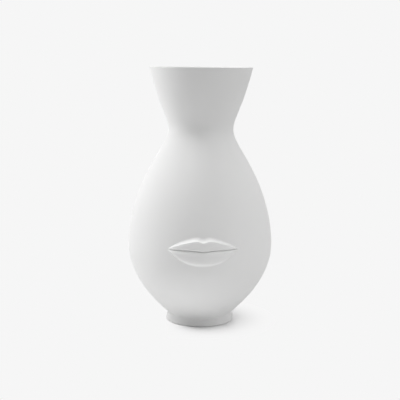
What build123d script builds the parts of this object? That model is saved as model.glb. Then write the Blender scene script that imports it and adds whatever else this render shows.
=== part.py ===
from build123d import *
from math import degrees, exp
import os

os.makedirs("parts", exist_ok=True)

# A matte porcelain face vase, 316 mm tall, made the way a potter makes one in sections: a
# pear-shaped body, a flared collar luted on at the waist, a turned foot ring luted on below,
# two closed lips in relief on the front, and a glaze lining inside. Millimetres, +Z up, origin
# on the table under the middle of the foot. The lips face -Y.

# Outline of the whole form
height = 316.0
rim_radius = 63.3
waist_height = 240.0
waist_radius = 40.2
belly_height = 98.0
belly_radius = 89.5
foot_height = 11.0
foot_neck_radius = 41.0

# Handles of the outline's curves, as shares of the width and the height that each curve spans
low_belly_shares = ((0.197, 0.109), (1.0, 0.489))
high_belly_shares = ((1.0, 0.108), (0.93, 0.614), (0.0, 0.828))
collar_shares = ((0.0, 0.206), (0.44, 0.30))
cavity_shares = ((0.22, 0.0), (1.0, 0.46))

# Porcelain wall, floor and rim, and the glaze inside
wall = 4.5
base_thickness = 5.5
floor_radius = 32.0
rim_outer_radius = 0.4
rim_inner_radius = 1.6
glaze_thickness = 0.5
glaze_margin = 3.0
glaze_seat = wall / 10

# Foot ring. Its side starts in the direction of the belly's end, so the joint is a soft hollow
foot_radius = 42.2
foot_edge_height = 1.0
foot_land_radius = 41.2
foot_ring_width = 8.0
foot_edge_rounding = 0.8
foot_land_rounding = 0.5
foot_hollow_share = 0.15
foot_flare_shares = ((0.25, 0.5),)

# Tongue-and-groove joints, with a skin of luting slip in each groove
tongue_width = wall / 3
tongue_height = 2.2
slip_thickness = 0.3
groove_width = tongue_width + 2 * slip_thickness
groove_depth = tongue_height + slip_thickness

# Lips, measured along the wall from the middle of the mouth line
mouth_width = 86.0
mouth_height = 106.0
mouth_dip = 1.2
mouth_gap = 0.3
upper_lip_height = 12.5
lower_lip_height = 17.0
upper_roll_width = 5.0
lower_roll_width = 3.6
lip_rise = 6.0
lip_seat = wall / 3
lip_sink = 0.3
lip_stations = 19

# Proportions of a plain closed mouth, as shares of half its width or of a lip's height or rise
lip_end_share = 0.965
dip_width_share = 0.17
bow_notch_share = 0.22
bow_notch_width_share = 0.12
upper_ridge_share = 0.95
lower_ridge_share = 0.5
mouth_edge_share = 0.5
upper_face_shares = ((0.62, 1.06), (0.08, 1.1))
lower_face_shares = ((0.85, 1.1), (0.12, 1.22))
roll_shares = ((0.5, 0.0), (0.1, 0.45))

# Powers that shape the lips' borders and their rise across the mouth: the higher, the fuller
bow_power = 1.6
bowl_power = 2.2
swell_power = 2.4
swell_softness = 0.8

halvings = 30


def handles(start, end, shares):
    """Start, handles and end of a curve, each handle placed by its shares of the curve's span."""
    nearest = min(start[0], end[0])
    width = abs(end[0] - start[0])
    rise = end[1] - start[1]
    return [start, *((nearest + across * width, start[1] + up * rise) for across, up in shares), end]


def inset(points, depth):
    """Handles of a curve that runs depth inside the one with the given handles."""
    corners = [Vector(*point) for point in points]
    normals = [(b - a).normalized().rotate(Axis.Z, 90) for a, b in zip(corners, corners[1:])]
    sides = [normals[0], *normals, normals[-1]]
    return [p + (m + n) * (depth / (1 + m.dot(n))) for p, m, n in zip(corners, sides, sides[1:])]


low_belly = handles((foot_neck_radius, foot_height), (belly_radius, belly_height), low_belly_shares)
high_belly = handles((belly_radius, belly_height), (waist_radius, waist_height), high_belly_shares)
flare = handles((waist_radius, waist_height), (rim_radius, height), collar_shares)
floor_height = foot_height + base_thickness
cavity = handles((floor_radius, floor_height), (belly_radius - wall, belly_height), cavity_shares)
foot_side = handles(low_belly[0], (foot_radius, foot_edge_height), foot_flare_shares)
foot_side.insert(1, tuple(a - foot_hollow_share * (b - a) for a, b in zip(*low_belly[:2])))
foot_inner_radius = foot_neck_radius - foot_ring_width
foot_tongue_radius = foot_neck_radius - foot_ring_width / 2
waist_tongue_radius = waist_radius - wall / 2


def shifted(points, inward):
    """Handles of a curve moved towards the axis."""
    return [(x - inward, y) for x, y in points]


def notch(centre, base, width, tall):
    """Corners of a tongue or groove, from its outer foot over its top to its inner foot."""
    outer = centre + width / 2
    inner = centre - width / 2
    return [(outer, base), (outer, base + tall), (inner, base + tall), (inner, base)]


# Body: the pear-shaped shell with its floor, grooved in the neck's edge and in the underside
with BuildPart() as body:
    with BuildSketch(Plane.XZ):
        with BuildLine():
            belly = Bezier(*low_belly)
            shoulder = Bezier(*high_belly)
            inner_belly = Bezier(*cavity)
            inner_shoulder = Bezier(*inset(high_belly, wall))
            neck_groove = notch(waist_tongue_radius, waist_height, groove_width, -groove_depth)
            foot_groove = notch(foot_tongue_radius, foot_height, groove_width, groove_depth)
            Polyline(shoulder @ 1, *neck_groove, inner_shoulder @ 1)
            Polyline(belly @ 0, *foot_groove, (0, foot_height), (0, floor_height), inner_belly @ 0)
        make_face()
    revolve(axis=Axis.Z)
body.part.label = "body"
export_step(body.part, "parts/body.step")

# Collar: the flared cone, with a tongue below and a rim eased outside and rounded inside
with BuildPart() as collar:
    with BuildSketch(Plane.XZ) as collar_section:
        with BuildLine():
            cone = Bezier(*flare)
            inner_cone = Bezier(*shifted(flare, wall))
            neck_tongue = notch(waist_tongue_radius, waist_height, tongue_width, -tongue_height)
            Line(cone @ 1, inner_cone @ 1)
            Polyline(cone @ 0, *neck_tongue, inner_cone @ 0)
        make_face()
        rim = collar_section.vertices().group_by(Axis.Y)[-1].sort_by(Axis.X)
        fillet(rim[0], rim_inner_radius)
        fillet(rim[-1], rim_outer_radius)
    revolve(axis=Axis.Z)
collar.part.label = "collar"
export_step(collar.part, "parts/collar.step")

# Foot ring: a turned ring whose side flares to a bevelled edge, with a ground land and a tongue
with BuildPart() as foot_ring:
    with BuildSketch(Plane.XZ) as foot_section:
        with BuildLine():
            flank = Bezier(*foot_side)
            foot_tongue = notch(foot_tongue_radius, foot_height, tongue_width, tongue_height)
            Polyline(flank @ 0, *foot_tongue, (foot_inner_radius, foot_height), (foot_inner_radius, 0))
            Polyline((foot_inner_radius, 0), (foot_land_radius, 0), flank @ 1)
        make_face()
        fillet(foot_section.vertices().sort_by(Axis.X)[-1], foot_edge_rounding)
        fillet(foot_section.vertices().group_by(Axis.Y)[0], foot_land_rounding)
    revolve(axis=Axis.Z)
foot_ring.part.label = "foot_ring"
export_step(foot_ring.part, "parts/foot_ring.step")

# Luting slip: the thin skin that fills what the tongue leaves of the groove at the waist
with BuildPart() as neck_slip:
    with BuildSketch(Plane.XZ):
        with BuildLine():
            Polyline(*neck_groove, *reversed(neck_tongue), close=True)
        make_face()
    revolve(axis=Axis.Z)
neck_slip.part.label = "neck_slip"
export_step(neck_slip.part, "parts/neck_slip.step")

# The same skin of slip in the groove above the foot ring
with BuildPart() as foot_slip:
    with BuildSketch(Plane.XZ):
        with BuildLine():
            Polyline(*foot_groove, *reversed(foot_tongue), close=True)
        make_face()
    revolve(axis=Axis.Z)
foot_slip.part.label = "foot_slip"
export_step(foot_slip.part, "parts/foot_slip.step")

# Glaze lining: the clear glaze that makes the inside hold water, up to just under the rim. Its
# back starts a little inside the wall and is cut to the wall's own face.
with BuildPart() as glaze_lining:
    with BuildSketch(Plane.XZ):
        with BuildLine():
            bowl_face = Bezier(*inset(cavity, glaze_thickness))
            Bezier(*inset(high_belly, wall + glaze_thickness))
            cone_face = Bezier(*shifted(flare, wall + glaze_thickness))
            bowl_back = Bezier(*inset(cavity, -glaze_seat))
            Bezier(*inset(high_belly, wall - glaze_seat))
            cone_back = Bezier(*shifted(flare, wall - glaze_seat))
            Line(cone_back @ 1, cone_face @ 1)
            axis_points = ((0, floor_height + glaze_thickness), (0, floor_height - glaze_seat))
            Polyline(bowl_face @ 0, *axis_points, bowl_back @ 0)
        make_face()
    revolve(axis=Axis.Z)
    split(bisect_by=Plane.XY.offset(height - glaze_margin), keep=Keep.BOTTOM)
    add(body.part, mode=Mode.SUBTRACT)
    add(collar.part, mode=Mode.SUBTRACT)
glaze_lining.part.label = "glaze_lining"
export_step(glaze_lining.part, "parts/glaze_lining.step")


def wall_radius(level):
    """Radius of the body's outside at a height, found by halving the curve that passes it."""
    curve = belly if level < belly_height else shoulder
    low, high = 0, 1
    for _ in range(halvings):
        middle = (low + high) / 2
        if (curve @ middle).Y < level:
            low = middle
        else:
            high = middle
    return (curve @ low).X


def on_wall(level, rise):
    """Point of a radial section that stands a rise proud of the wall at a height."""
    return (wall_radius(level) + rise, level)


def between(start, end, share):
    """Value that lies a share of the way from start to end."""
    return start + share * (end - start)


def radial_plane(station):
    """Plane through the vase's axis at a station of the mouth, with x outward and y up."""
    turn = degrees(station * mouth_width / 2 / wall_radius(mouth_height))
    outward = Vector(0, -1, 0).rotate(Axis.Z, turn)
    return Plane(origin=(0, 0, 0), x_dir=outward, z_dir=outward.cross(Vector(0, 0, 1)))


def mouth_line(station):
    """Height of the line between the lips, which dips a little in the middle."""
    return mouth_height - mouth_dip * exp(-((station / dip_width_share) ** 2))


def bow(station):
    """Upper border as a share of the upper lip's height, with a shallow notch in the middle."""
    dent = bow_notch_share * exp(-((station / bow_notch_width_share) ** 2))
    return (1 - abs(station) ** bow_power) * (1 - dent)


def bowl(station):
    """Lower border as a share of the lower lip's height."""
    return 1 - abs(station) ** bowl_power


def swell(station):
    """Rise and roll of both lips as a share, fading towards the corners of the mouth."""
    return (1 - abs(station) ** swell_power) ** swell_softness


def lip_section(mouth, border, edge, rise, ridge_share, face_shares):
    """Closed outline of a lip in a radial plane: roll, face, mouth side and a back in the wall."""
    with BuildSketch() as section:
        with BuildLine():
            top = ridge_share * rise
            ridge = on_wall(border, top)
            roll = [on_wall(between(border, edge, across), up * top) for across, up in roll_shares]
            Bezier(on_wall(edge, -lip_sink), *roll, ridge)
            face = [on_wall(between(mouth, border, across), up * rise) for across, up in face_shares]
            crease = on_wall(mouth, mouth_edge_share * rise)
            Bezier(ridge, *face, crease)
            back = [on_wall(mouth, -lip_seat), on_wall(edge, -lip_seat)]
            Polyline(crease, *back, on_wall(edge, -lip_sink))
        make_face()
    return section.sketch


stations = [lip_end_share * (2 * n / (lip_stations - 1) - 1) for n in range(lip_stations)]

# Upper lip: lofted across the mouth through radial sections, its back cut to the body's wall
with BuildPart() as upper_lip:
    for station in stations:
        mouth = mouth_line(station) + mouth_gap / 2
        border = mouth_height + upper_lip_height * bow(station)
        edge = border + upper_roll_width * swell(station)
        rise = lip_rise * swell(station)
        with BuildSketch(radial_plane(station)):
            add(lip_section(mouth, border, edge, rise, upper_ridge_share, upper_face_shares))
    loft()
    add(body.part, mode=Mode.SUBTRACT)
upper_lip.part.label = "upper_lip"
export_step(upper_lip.part, "parts/upper_lip.step")

# Lower lip: the same, fuller and rounder, hanging from the mouth line
with BuildPart() as lower_lip:
    for station in stations:
        mouth = mouth_line(station) - mouth_gap / 2
        border = mouth_height - lower_lip_height * bowl(station)
        edge = border - lower_roll_width * swell(station)
        rise = lip_rise * swell(station)
        with BuildSketch(radial_plane(station)):
            add(lip_section(mouth, border, edge, rise, lower_ridge_share, lower_face_shares))
    loft()
    add(body.part, mode=Mode.SUBTRACT)
lower_lip.part.label = "lower_lip"
export_step(lower_lip.part, "parts/lower_lip.step")
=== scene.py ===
import bpy
from math import cos, exp, pi, radians, sin, tau
from mathutils import Euler, Matrix, Vector


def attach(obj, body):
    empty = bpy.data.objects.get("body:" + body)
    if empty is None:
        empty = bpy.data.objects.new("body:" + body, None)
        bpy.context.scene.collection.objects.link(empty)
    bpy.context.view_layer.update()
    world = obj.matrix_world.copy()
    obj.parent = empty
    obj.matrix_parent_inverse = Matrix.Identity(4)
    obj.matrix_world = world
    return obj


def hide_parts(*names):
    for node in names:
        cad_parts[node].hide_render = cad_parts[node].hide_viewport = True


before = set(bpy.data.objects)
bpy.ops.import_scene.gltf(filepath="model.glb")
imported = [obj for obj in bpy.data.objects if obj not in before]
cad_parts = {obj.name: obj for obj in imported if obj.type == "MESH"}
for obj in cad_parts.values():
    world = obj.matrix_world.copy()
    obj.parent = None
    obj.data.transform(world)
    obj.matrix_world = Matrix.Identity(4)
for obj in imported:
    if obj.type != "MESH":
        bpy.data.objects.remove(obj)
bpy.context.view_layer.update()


# Belly: the pear-shaped shell with its floor, cast in white porcelain slip and fired once without
# glaze outside, so it is matte, very fine in the grain and even in tone. Its neck edge and its
# underside are grooved for the tongues of the collar and the foot ring.
wall = 0.0045
floor_radius = 0.032
floor_height = 0.0165
belly_radius = 0.0895
belly_height = 0.098
waist = (0.0402, 0.240)
joint = (0.0410, 0.011)

low_belly_shares = ((0.197, 0.109), (1.0, 0.489))
shoulder_shares = ((1.0, 0.108), (0.93, 0.614), (0.0, 0.828))
hollow_shares = ((0.22, 0.0), (1.0, 0.46))

wheel_steps = 240
wheel_smooth_angle = radians(32)
wheel_weld = 0.000004


def handles(start, end, shares):
    """Start, handles and end of a curve, each handle placed by its shares of the curve's span."""
    nearest = min(start[0], end[0])
    width = abs(end[0] - start[0])
    rise = end[1] - start[1]
    return [start, *((nearest + across * width, start[1] + up * rise) for across, up in shares), end]


def bend(pulls, count):
    """Points along the curve that its handles pull, close together near both ends."""
    line = []
    for n in range(count + 1):
        share = (1 - cos(pi * n / count)) / 2
        row = [Vector(p) for p in pulls]
        while len(row) > 1:
            row = [a.lerp(b, share) for a, b in zip(row, row[1:])]
        line.append(row[0])
    return line


def inward(line, depth):
    """The same line a wall's thickness further in, measured square to it."""
    moved = []
    for n, point in enumerate(line):
        before = line[max(n - 1, 0)]
        after = line[min(n + 1, len(line) - 1)]
        along = (after - before).normalized()
        moved.append(point + Vector((-along.y, along.x)) * depth)
    return moved


def turn_on_wheel(name, section):
    """A turned piece: its closed section is drawn out point by point and spun round the axis."""
    bpy.ops.object.select_all(action="DESELECT")
    bpy.ops.mesh.primitive_plane_add(size=0.001, location=(0, 0, 0))
    piece = bpy.context.object
    piece.name = piece.data.name = name
    bpy.ops.object.mode_set(mode="EDIT")
    bpy.ops.mesh.select_all(action="SELECT")
    bpy.ops.mesh.merge(type="CENTER")
    bpy.ops.transform.translate(value=(section[0][0], 0, section[0][1]))
    for here, there in zip(section, section[1:]):
        step = (there[0] - here[0], 0, there[1] - here[1])
        bpy.ops.mesh.extrude_region_move(TRANSFORM_OT_translate={"value": step})
    bpy.ops.mesh.select_all(action="SELECT")
    bpy.ops.mesh.spin(steps=wheel_steps, angle=tau, center=(0, 0, 0), axis=(0, 0, 1))
    bpy.ops.mesh.select_all(action="SELECT")
    bpy.ops.mesh.remove_doubles(threshold=wheel_weld)
    bpy.ops.mesh.normals_make_consistent(inside=False)
    bpy.ops.object.mode_set(mode="OBJECT")
    bpy.ops.object.shade_smooth_by_angle(angle=wheel_smooth_angle)
    return piece


def groove(centre, base, width, tall):
    """Corners of a groove or tongue, from its outer foot to its inner foot."""
    outer, inner = centre + width / 2, centre - width / 2
    return [(outer, base), (outer, base + tall), (inner, base + tall), (inner, base)]


tongue_width = 0.0015
tongue_height = 0.0022
groove_width = 0.0021
groove_depth = 0.0025
waist_tongue = waist[0] - wall / 2
foot_tongue = 0.0370

widest = (belly_radius, belly_height)
belly_side = handles(joint, widest, low_belly_shares)
shoulder_side = handles(widest, waist, shoulder_shares)
hollow_side = handles((floor_radius, floor_height), (belly_radius - wall, belly_height), hollow_shares)
outside = bend(belly_side, count=44)[:-1] + bend(shoulder_side, count=72)
hollow = bend(hollow_side, count=32)[:-1] + inward(bend(shoulder_side, count=56), wall)
belly_section = (
    [(0, joint[1])]
    + groove(foot_tongue, joint[1], groove_width, groove_depth)[::-1]
    + outside
    + groove(waist_tongue, waist[1], groove_width, -groove_depth)
    + hollow[::-1]
    + [(0, floor_height)]
)
belly = turn_on_wheel("belly", belly_section)


def clay_group():
    """Shared look of fired clay: a faint cloudy tone and a fine grain."""
    group = bpy.data.node_groups.new("fired_clay", "ShaderNodeTree")
    for name, kind, way in (
        ("Place", "NodeSocketVector", "INPUT"),
        ("Grain Size", "NodeSocketFloat", "INPUT"),
        ("Tone", "NodeSocketFloat", "OUTPUT"),
        ("Grain", "NodeSocketFloat", "OUTPUT"),
    ):
        group.interface.new_socket(name=name, in_out=way, socket_type=kind)
    nodes, links = group.nodes, group.links
    entry, result = nodes.new("NodeGroupInput"), nodes.new("NodeGroupOutput")
    cloud = nodes.new("ShaderNodeTexNoise")
    cloud.inputs["Scale"].default_value = 22
    cloud.inputs["Detail"].default_value = 4
    cloud.inputs["Roughness"].default_value = 0.55
    grain = nodes.new("ShaderNodeTexNoise")
    grain.inputs["Detail"].default_value = 5
    grain.inputs["Roughness"].default_value = 0.7
    for node in (cloud, grain):
        links.new(entry.outputs["Place"], node.inputs["Vector"])
    links.new(entry.outputs["Grain Size"], grain.inputs["Scale"])
    links.new(cloud.outputs["Fac"], result.inputs["Tone"])
    links.new(grain.outputs["Fac"], result.inputs["Grain"])
    return group


fired_clay = clay_group()
sheen_spread = 0.06


def clay_material(name, pale, shade, roughness, grain_size, grain_depth):
    """Fired clay: two close tones mixed by its clouds, a rough sheen and a fine grain."""
    finish = bpy.data.materials.new(name)
    finish.use_nodes = True
    nodes, links = finish.node_tree.nodes, finish.node_tree.links
    shader = nodes["Principled BSDF"]
    place = nodes.new("ShaderNodeTexCoord")
    clay = nodes.new("ShaderNodeGroup")
    clay.node_tree = fired_clay
    clay.inputs["Grain Size"].default_value = grain_size
    tone = nodes.new("ShaderNodeMix")
    tone.data_type = "RGBA"
    tone.inputs["A"].default_value = (*shade, 1)
    tone.inputs["B"].default_value = (*pale, 1)
    gloss = nodes.new("ShaderNodeMapRange")
    gloss.inputs["To Min"].default_value = roughness - sheen_spread
    gloss.inputs["To Max"].default_value = roughness + sheen_spread
    bump = nodes.new("ShaderNodeBump")
    bump.inputs["Strength"].default_value = 1
    bump.inputs["Distance"].default_value = grain_depth
    links.new(place.outputs["Object"], clay.inputs["Place"])
    links.new(clay.outputs["Tone"], tone.inputs["Factor"])
    links.new(tone.outputs["Result"], shader.inputs["Base Color"])
    links.new(clay.outputs["Grain"], gloss.inputs["Value"])
    links.new(gloss.outputs["Result"], shader.inputs["Roughness"])
    links.new(clay.outputs["Grain"], bump.inputs["Height"])
    links.new(bump.outputs["Normal"], shader.inputs["Normal"])
    shader.inputs["IOR"].default_value = 1.5
    shader.inputs["Specular IOR Level"].default_value = 0.3
    return finish


bisque = clay_material(
    "matte_bisque",
    pale=(0.907, 0.907, 0.904),
    shade=(0.885, 0.885, 0.88),
    roughness=0.78,
    grain_size=900,
    grain_depth=0.00004,
)
belly.data.materials.append(bisque)
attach(belly, "root")
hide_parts("body")


# Collar: the flared cone above the waist, cast by itself and luted on with slip, then sponged so
# that no seam shows. Its rim is eased outside and rounded inside.
rim = (0.0633, 0.316)
rim_outer = 0.0004
rim_inner = 0.0016
collar_shares = ((0.0, 0.206), (0.44, 0.30))
ease_clearance = 0.0001

cone = bend(handles(waist, rim, collar_shares), count=48)
inner_cone = [point - Vector((wall, 0)) for point in cone]
cone_up = (cone[-1] - cone[-4]).normalized()
inner_edge = (rim[0] - wall, rim[1])
outer_ease = bend([cone[-1] - cone_up * rim_outer, rim, (rim[0] - rim_outer, rim[1])], count=6)
inner_top = (inner_edge[0] + rim_inner, rim[1])
inner_ease = bend([inner_top, inner_edge, Vector(inner_edge) - cone_up * rim_inner], count=8)
below_ease = [p for p in cone if p.y < outer_ease[0].y - ease_clearance]
inner_below = [p for p in inner_cone if p.y < inner_ease[-1].y - ease_clearance]
collar_tongue = groove(waist_tongue, waist[1], tongue_width, -tongue_height)
collar_section = (
    collar_tongue[::-1]
    + below_ease
    + outer_ease
    + inner_ease
    + inner_below[::-1]
    + [collar_tongue[-1]]
)
collar = turn_on_wheel("collar", collar_section)
collar.data.materials.append(bisque)
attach(collar, "root")
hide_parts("collar")


# Foot ring: turned from the same clay, luted under the body and sponged into it, so the joint is a
# soft hollow. Its side flares to a bevelled edge, and the land it stands on is ground flat.
foot_edge = (0.0422, 0.0010)
land_edge = (0.0412, 0.0)
ring_inside = 0.033
edge_round = 0.0004
land_round = 0.0003
foot_hollow_share = 0.15
foot_flare_shares = ((0.25, 0.5),)

flank_pulls = handles(joint, foot_edge, foot_flare_shares)
flank_pulls.insert(1, tuple(a - foot_hollow_share * (b - a) for a, b in zip(*belly_side[:2])))
flank = bend(flank_pulls, count=30)
flank_down = (flank[-1] - flank[-5]).normalized()
bevel_down = (Vector(land_edge) - Vector(foot_edge)).normalized()
flank_above = [p for p in flank if (Vector(foot_edge) - p).length > edge_round]
edge_start = Vector(foot_edge) - flank_down * edge_round
edge_end = Vector(foot_edge) + bevel_down * edge_round
edge_bend = bend([edge_start, foot_edge, edge_end], count=6)
land_start = Vector(land_edge) - bevel_down * land_round
outer_land = bend([land_start, land_edge, (land_edge[0] - land_round, 0)], count=5)
inner_land = bend([(ring_inside + land_round, 0), (ring_inside, 0), (ring_inside, land_round)], count=5)
foot_section = (
    flank_above
    + edge_bend
    + outer_land
    + inner_land
    + [(ring_inside, joint[1])]
    + groove(foot_tongue, joint[1], tongue_width, tongue_height)[::-1]
    + [flank[0]]
)
foot_ring = turn_on_wheel("foot_ring", foot_section)
foot_ring.data.materials.append(bisque)
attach(foot_ring, "root")
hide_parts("foot_ring")


# Luting slip: the liquid clay that fills what the tongues leave of their grooves. It is fired with
# the pieces, and shows only where a joint is broken open.
luting_slip = clay_material(
    "luting_slip",
    pale=(0.83, 0.823, 0.806),
    shade=(0.784, 0.778, 0.762),
    roughness=0.85,
    grain_size=600,
    grain_depth=0.0001,
)
for name in ("neck_slip", "foot_slip"):
    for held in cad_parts[name].material_slots:
        held.material = luting_slip


# Glaze lining: the clear glossy glaze poured round the inside, which makes the porous shell hold
# water. It ends just under the rim in a soft wiped edge.
glaze_depth = 0.0005
glaze_sink = 0.00015
glaze_margin = 0.003

whole_wall = hollow[:-1] + inner_cone
glazed_wall = [p for p in whole_wall if p.y < rim[1] - glaze_margin]
face = inward(glazed_wall, glaze_depth)
back = inward(glazed_wall, -glaze_sink)
wiped_edge = bend([face[-1], face[-1] + cone_up * glaze_depth, back[-1]], count=5)
lining_section = (
    [(0, floor_height - glaze_sink)]
    + back
    + wiped_edge[::-1][1:-1]
    + face[::-1]
    + [(0, floor_height + glaze_depth)]
)
glaze_lining = turn_on_wheel("glaze_lining", lining_section)

lining_glaze = bpy.data.materials.new("clear_lining_glaze")
lining_glaze.use_nodes = True
nodes, links = lining_glaze.node_tree.nodes, lining_glaze.node_tree.links
glaze = nodes["Principled BSDF"]
glaze.inputs["Roughness"].default_value = 0.14
glaze.inputs["IOR"].default_value = 1.52
place = nodes.new("ShaderNodeTexCoord")
clay_below = nodes.new("ShaderNodeGroup")
clay_below.node_tree = fired_clay
clay_below.inputs["Grain Size"].default_value = 60
tone = nodes.new("ShaderNodeMix")
tone.data_type = "RGBA"
tone.inputs["A"].default_value = (0.874, 0.879, 0.868, 1)
tone.inputs["B"].default_value = (0.907, 0.909, 0.902, 1)
ripple = nodes.new("ShaderNodeBump")
ripple.inputs["Strength"].default_value = 0.6
ripple.inputs["Distance"].default_value = 0.0003
links.new(place.outputs["Object"], clay_below.inputs["Place"])
links.new(clay_below.outputs["Tone"], tone.inputs["Factor"])
links.new(tone.outputs["Result"], glaze.inputs["Base Color"])
links.new(clay_below.outputs["Grain"], ripple.inputs["Height"])
links.new(ripple.outputs["Normal"], glaze.inputs["Normal"])
glaze_lining.data.materials.append(lining_glaze)
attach(glaze_lining, "root")
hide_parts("glaze_lining")


# Lips: a plain closed mouth in relief, each lip pressed in a mould, luted to the wall and blended
# into it with a damp sponge, so its roll runs out onto the belly and only the ridge stays crisp.
mouth_width = 0.086
mouth_height = 0.106
mouth_gap = 0.0003
mouth_dip = 0.0012
dip_width_share = 0.17
mouth_edge_share = 0.5
lip_rise = 0.006
lip_sink = 0.00006
lip_seat = 0.0015
roll_shares = ((0.5, 0.0), (0.1, 0.45))
swell_power = 2.4
swell_softness = 0.8

lip_columns = 200
lip_end_share = 0.992
lip_smooth_angle = radians(40)
lip_weld = 0.000001
ridge_trim = 5

wall_line = bend(belly_side, count=1200)[:-1] + bend(shoulder_side, count=1800)


def on_wall(level, rise):
    """The point of a lip's section that stands a rise proud of the belly at a height."""
    low, high = 0, len(wall_line) - 1
    while high - low > 1:
        middle = (low + high) // 2
        if wall_line[middle].y < level:
            low = middle
        else:
            high = middle
    below, above = wall_line[low], wall_line[high]
    share = (level - below.y) / (above.y - below.y)
    return Vector((below.x + share * (above.x - below.x) + rise, level))


def between(start, end, share):
    """The height that lies a share of the way from start to end."""
    return start + share * (end - start)


def swell(across):
    """How far the lips stand out, from full in the middle to nothing at the corners."""
    return (1 - abs(across) ** swell_power) ** swell_softness


def lip_line(across, border_height, roll_width, ridge_share, face_shares, side):
    """A lip's closed section at one place across the mouth, from its roll round to its back."""
    dip = mouth_dip * exp(-((across / dip_width_share) ** 2))
    mouth = mouth_height - dip + side * mouth_gap / 2
    border = mouth_height + side * border_height
    edge = border + side * roll_width * swell(across)
    rise = lip_rise * swell(across)
    top = ridge_share * rise
    ridge = on_wall(border, top)
    roll_pulls = [on_wall(between(border, edge, share), up * top) for share, up in roll_shares]
    roll = bend([on_wall(edge, -lip_sink), *roll_pulls, ridge], count=22)
    face_pulls = [on_wall(between(mouth, border, share), up * rise) for share, up in face_shares]
    skin = bend([ridge, *face_pulls, on_wall(mouth, mouth_edge_share * rise)], count=34)
    ridge_bend = bend([roll[-ridge_trim], ridge, skin[ridge_trim - 1]], count=6)
    back = [on_wall(level, -lip_seat) for level in (mouth, between(mouth, edge, 0.5), edge)]
    return roll[:-ridge_trim] + ridge_bend + skin[ridge_trim:] + back + [roll[0]]


def press_lip(name, section_at):
    """A lip as a grid wrapped round its sections, closed along the back and at both ends."""
    rows = len(section_at(0)) - 1
    bpy.ops.object.select_all(action="DESELECT")
    bpy.ops.mesh.primitive_grid_add(x_subdivisions=lip_columns, y_subdivisions=rows, size=0.05)
    lip = bpy.context.object
    lip.name = lip.data.name = name
    for column in range(lip_columns + 1):
        across = lip_end_share * sin(pi / 2 * (2 * column / lip_columns - 1))
        turn = across * mouth_width / 2 / on_wall(mouth_height, 0).x
        for row, point in enumerate(section_at(across)):
            vertex = lip.data.vertices[row * (lip_columns + 1) + column]
            vertex.co = (point.x * sin(turn), -point.x * cos(turn), point.y)
    bpy.ops.object.mode_set(mode="EDIT")
    bpy.ops.mesh.select_all(action="SELECT")
    bpy.ops.mesh.remove_doubles(threshold=lip_weld)
    bpy.ops.mesh.select_all(action="SELECT")
    bpy.ops.mesh.fill_holes(sides=0)
    bpy.ops.mesh.select_all(action="SELECT")
    bpy.ops.mesh.normals_make_consistent(inside=False)
    bpy.ops.object.mode_set(mode="OBJECT")
    bpy.ops.object.shade_smooth_by_angle(angle=lip_smooth_angle)
    lip.data.materials.append(bisque)
    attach(lip, "root")
    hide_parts(name)


upper_lip_height = 0.0125
upper_roll_width = 0.005
upper_ridge_share = 0.95
upper_face_shares = ((0.62, 1.06), (0.08, 1.1))
bow_power = 1.6
bow_notch_share = 0.22
bow_notch_width_share = 0.12


def upper_section(across):
    """The upper lip: a shallow bow with a dent in the middle, and a wide soft roll above it."""
    dent = bow_notch_share * exp(-((across / bow_notch_width_share) ** 2))
    height = upper_lip_height * (1 - abs(across) ** bow_power) * (1 - dent)
    return lip_line(across, height, upper_roll_width, upper_ridge_share, upper_face_shares, 1)


lower_lip_height = 0.017
lower_roll_width = 0.0036
lower_ridge_share = 0.5
lower_face_shares = ((0.85, 1.1), (0.12, 1.22))
bowl_power = 2.2


def lower_section(across):
    """The lower lip: fuller and rounder, hanging from the mouth line."""
    height = lower_lip_height * (1 - abs(across) ** bowl_power)
    return lip_line(across, height, lower_roll_width, lower_ridge_share, lower_face_shares, -1)


press_lip("upper_lip", upper_section)
press_lip("lower_lip", lower_section)


# Paper: a pale seamless sweep. The camera sees it as an even white, apart from the shadow close
# round the foot, in front and on the right of it. To the vase it throws back light as a matte white
# that is darker far out, with painted shade in one small patch in front of the foot.
paper_white = (0.922, 0.922, 0.922)
shaded_white = (0.822, 0.822, 0.822)
paper_radius = 6
paper_level = -0.00005

thrown_reach = (0.21, 0.63)
thrown_near = 0.92
thrown_far = 0.6
painted_shade_patch = (-0.012, -0.052, 0)
painted_shade_patch_radius = 0.034
painted_shade_patch_share = 0.7

shadow_reach = (0.0445, 0.0955)
shadow_power = 2.4
shadow_left = (-0.042, 0)
shadow_right = (0.034, 0.046)
shadow_right_share = 0.72
contact_reach = (0.0413, 0.0425)


def ramp(nodes, start, end, low, high, curve="LINEAR"):
    """A node that turns values from start to end into values from low to high."""
    node = nodes.new("ShaderNodeMapRange")
    node.interpolation_type = curve
    for name, value in (("From Min", start), ("From Max", end), ("To Min", low), ("To Max", high)):
        node.inputs[name].default_value = value
    return node


def combined(nodes, links, operation, first, second):
    """The value that a math node makes of two outputs."""
    node = nodes.new("ShaderNodeMath")
    node.operation = operation
    links.new(first, node.inputs[0])
    links.new(second, node.inputs[1])
    return node.outputs["Value"]


def seen_directly(nodes, links):
    """A value that is 1 for rays that show the backdrop and 0 for rays that light the vase."""
    rays = nodes.new("ShaderNodeLightPath").outputs
    seen = combined(nodes, links, "MAXIMUM", rays["Is Camera Ray"], rays["Is Glossy Ray"])
    return combined(nodes, links, "MAXIMUM", seen, rays["Is Transmission Ray"])


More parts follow.
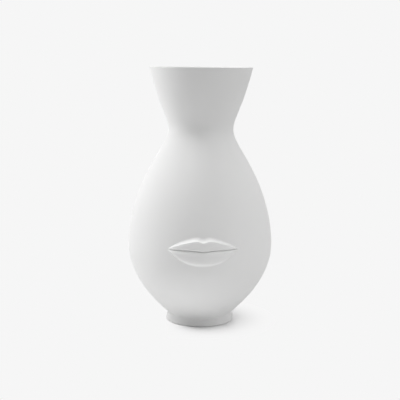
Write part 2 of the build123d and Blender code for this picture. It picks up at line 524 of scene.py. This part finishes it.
bpy.ops.object.select_all(action="DESELECT")
bpy.ops.mesh.primitive_circle_add(
    vertices=96, radius=paper_radius, fill_type="NGON", location=(0, 0, paper_level)
)
paper = bpy.context.object
paper.name = paper.data.name = "paper_sweep"
paper_finish = bpy.data.materials.new("paper")
paper_finish.use_nodes = True
nodes, links = paper_finish.node_tree.nodes, paper_finish.node_tree.links
place = nodes.new("ShaderNodeTexCoord").outputs["Object"]
reach = nodes.new("ShaderNodeVectorMath")
reach.operation = "LENGTH"
links.new(place, reach.inputs[0])
ways = nodes.new("ShaderNodeSeparateXYZ")
links.new(place, ways.inputs["Vector"])

matte = nodes["Principled BSDF"]
matte.inputs["Roughness"].default_value = 1
matte.inputs["Specular IOR Level"].default_value = 0
sweep = ramp(nodes, *thrown_reach, thrown_near, thrown_far, "SMOOTHSTEP")
links.new(reach.outputs["Value"], sweep.inputs["Value"])
# Painted shade: the paper's colour is dimmed in a small patch in front of the foot, standing in for the
# vase's shadow there, so that less light comes back onto the foot.
from_painted_shade = nodes.new("ShaderNodeVectorMath")
from_painted_shade.operation = "DISTANCE"
from_painted_shade.inputs[1].default_value = painted_shade_patch
links.new(place, from_painted_shade.inputs[0])
painted_shade = ramp(nodes, 0, painted_shade_patch_radius, painted_shade_patch_share, 1, "SMOOTHSTEP")
links.new(from_painted_shade.outputs["Value"], painted_shade.inputs["Value"])
thrown = combined(nodes, links, "MULTIPLY", sweep.outputs["Result"], painted_shade.outputs["Result"])
links.new(thrown, matte.inputs["Base Color"])

fade = ramp(nodes, *shadow_reach, 1, 0)
side = ramp(nodes, *shadow_left, 0, 1, "SMOOTHSTEP")
thin = ramp(nodes, *shadow_right, 1, shadow_right_share)
contact = ramp(nodes, *contact_reach, 1, 0)
links.new(reach.outputs["Value"], fade.inputs["Value"])
links.new(ways.outputs["X"], side.inputs["Value"])
links.new(ways.outputs["X"], thin.inputs["Value"])
links.new(reach.outputs["Value"], contact.inputs["Value"])
soften = nodes.new("ShaderNodeMath")
soften.operation = "POWER"
soften.inputs[1].default_value = shadow_power
links.new(fade.outputs["Result"], soften.inputs[0])
thinned = combined(nodes, links, "MULTIPLY", side.outputs["Result"], thin.outputs["Result"])
share = combined(nodes, links, "MULTIPLY", soften.outputs["Value"], thinned)
held = combined(nodes, links, "MAXIMUM", share, contact.outputs["Result"])

plain = nodes.new("ShaderNodeEmission")
plain.inputs["Color"].default_value = (*paper_white, 1)
shaded = nodes.new("ShaderNodeBsdfDiffuse")
shaded.inputs["Color"].default_value = (*shaded_white, 1)
near = nodes.new("ShaderNodeMixShader")
links.new(held, near.inputs["Fac"])
links.new(plain.outputs["Emission"], near.inputs[1])
links.new(shaded.outputs["BSDF"], near.inputs[2])
blend = nodes.new("ShaderNodeMixShader")
links.new(seen_directly(nodes, links), blend.inputs["Fac"])
links.new(matte.outputs["BSDF"], blend.inputs[1])
links.new(near.outputs["Shader"], blend.inputs[2])
links.new(blend.outputs["Shader"], nodes["Material Output"].inputs["Surface"])
paper.data.materials.append(paper_finish)


# Light: soft light from overhead, a weaker soft light high on the right, a round softbox high on
# the left that the camera doesn't see, and the even light of a dim room.
def far_lamp(name, azimuth, height, spread, strength):
    """A soft lamp far off: azimuth 0 stands in front, +90 to the right, and spread is its size."""
    bpy.ops.object.light_add(type="SUN", location=(0, 0, 1))
    lamp = bpy.context.object
    lamp.name = lamp.data.name = name
    lamp.data.energy = strength
    lamp.data.angle = radians(spread)
    lamp.rotation_euler = Euler((radians(90 - height), 0, radians(azimuth)))


far_lamp("skylight", azimuth=0, height=90, spread=70, strength=1.044)
far_lamp("right_bounce", azimuth=75, height=48, spread=30, strength=0.814)

softbox_place = Vector((-0.788, 0.139, 0.8))
softbox_aim = Vector((0, 0, 0.16))
bpy.ops.object.light_add(type="AREA", location=softbox_place)
softbox = bpy.context.object
softbox.name = softbox.data.name = "left_softbox"
softbox.data.shape = "DISK"
softbox.data.size = 0.45
softbox.data.energy = 5.38
softbox.rotation_euler = (softbox_aim - softbox_place).to_track_quat("-Z", "Y").to_euler()
softbox.visible_camera = False

world = bpy.data.worlds.new("room")
bpy.context.scene.world = world
world.use_nodes = True
nodes, links = world.node_tree.nodes, world.node_tree.links
room = nodes["Background"]
room.inputs["Color"].default_value = (1, 1, 1, 1)
room.inputs["Strength"].default_value = 0.263
backdrop = nodes.new("ShaderNodeBackground")
backdrop.inputs["Color"].default_value = (*paper_white, 1)
blend = nodes.new("ShaderNodeMixShader")
links.new(seen_directly(nodes, links), blend.inputs["Fac"])
links.new(room.outputs["Background"], blend.inputs[1])
links.new(backdrop.outputs["Background"], blend.inputs[2])
links.new(blend.outputs["Shader"], nodes["World Output"].inputs["Surface"])
bpy.context.scene.view_settings.view_transform = "Standard"


# Camera: a little above the rim and about 1.1 m away, swung slightly to the left of the mouth,
# tilted down to take in the foot, and leaning a trace to one side.
camera_distance = 1.12
camera_height = 0.3274
camera_swing = radians(-2.4)
camera_tilt = radians(90 - 8.899)
camera_lean = radians(0.425)

bpy.ops.object.camera_add()
camera = bpy.context.object
camera.name = camera.data.name = "camera"
camera.data.sensor_width = 36
camera.data.lens = 81.669
camera.data.shift_x = -0.00075
camera.data.shift_y = -0.00095
swing = Matrix.Rotation(camera_swing, 4, "Z")
tilt = Matrix.Rotation(camera_tilt, 4, "X")
lean = Matrix.Rotation(camera_lean, 4, "Z")
camera.location = swing @ Vector((0, -camera_distance, camera_height))
camera.rotation_euler = (swing @ tilt @ lean).to_euler()
bpy.context.scene.camera = camera
